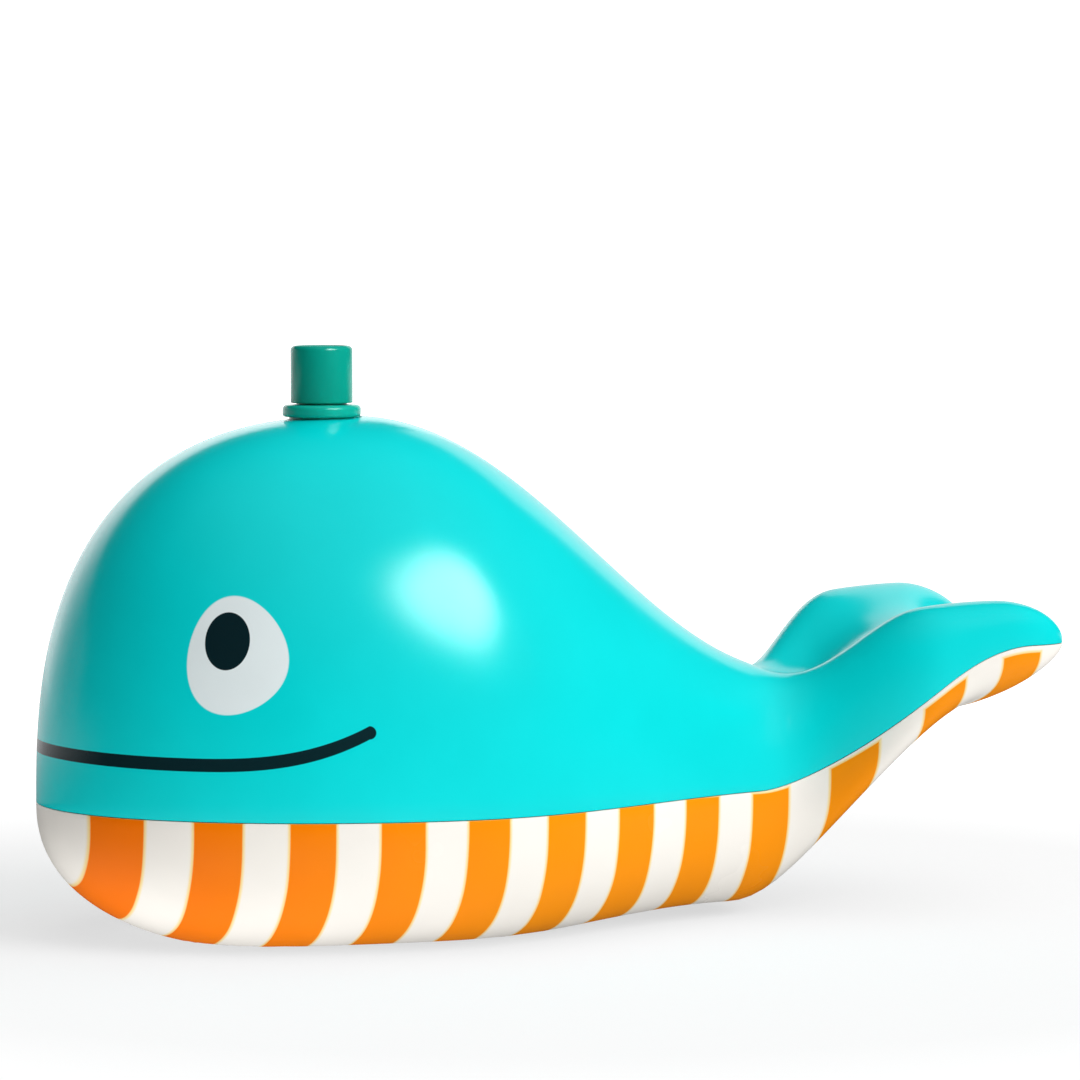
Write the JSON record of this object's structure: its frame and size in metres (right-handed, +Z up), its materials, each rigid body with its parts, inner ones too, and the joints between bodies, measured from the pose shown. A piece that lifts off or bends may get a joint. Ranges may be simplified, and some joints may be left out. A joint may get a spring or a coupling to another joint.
{
  "type": "bubble-blowing bath toy",
  "caption": "Whale-shaped bath toy that blows foam bubbles: two-part hollow hull, plug-in spout, mouthpiece with one-way valve, air tube and diffuser",
  "frame": {"origin": "centre of the bounding box on the plane the belly rests on", "axes": "+X from nose to flukes, +Y to the whale's right, +Z up"},
  "size_m": [0.172, 0.082, 0.0971],
  "materials": {
    "turquoise": "glossy moulded plastic",
    "ivory": "glossy moulded plastic with sprayed orange stripes",
    "grommet_silicone": "smooth silicone",
    "spout_green": "glossy moulded plastic",
    "screen_nylon": "woven nylon",
    "white_plastic": "smooth moulded plastic",
    "clear_silicone": "milky silicone"
  },
  "bodies": {
    "hull": {"upper_shell": "turquoise", "lower_shell": "ivory", "spout_grommet": "grommet_silicone", "mouthpiece": "white_plastic", "mouthpiece_seal": "clear_silicone", "valve_chamber": "white_plastic", "air_tube": "clear_silicone", "diffuser_body": "white_plastic", "diffuser_cap": "white_plastic"},
    "spout": {"blowhole_spout": "spout_green", "foam_screen": "screen_nylon", "screen_ring": "spout_green"},
    "flap": {"valve_flap": "clear_silicone"}
  },
  "joints": [
    {"name": "spout_lift", "type": "slide", "parent": "hull", "child": "spout", "axis": [0, 0, 1], "range_m": [0, 0.03]},
    {"name": "flap_swing", "type": "hinge", "parent": "hull", "child": "flap", "pos_m": [0.0672, 0, 0.04416], "axis": [0, 1, 0], "range_deg": [0, 40], "stiffness_Nm_per_rad": 0.00001}
  ]
}
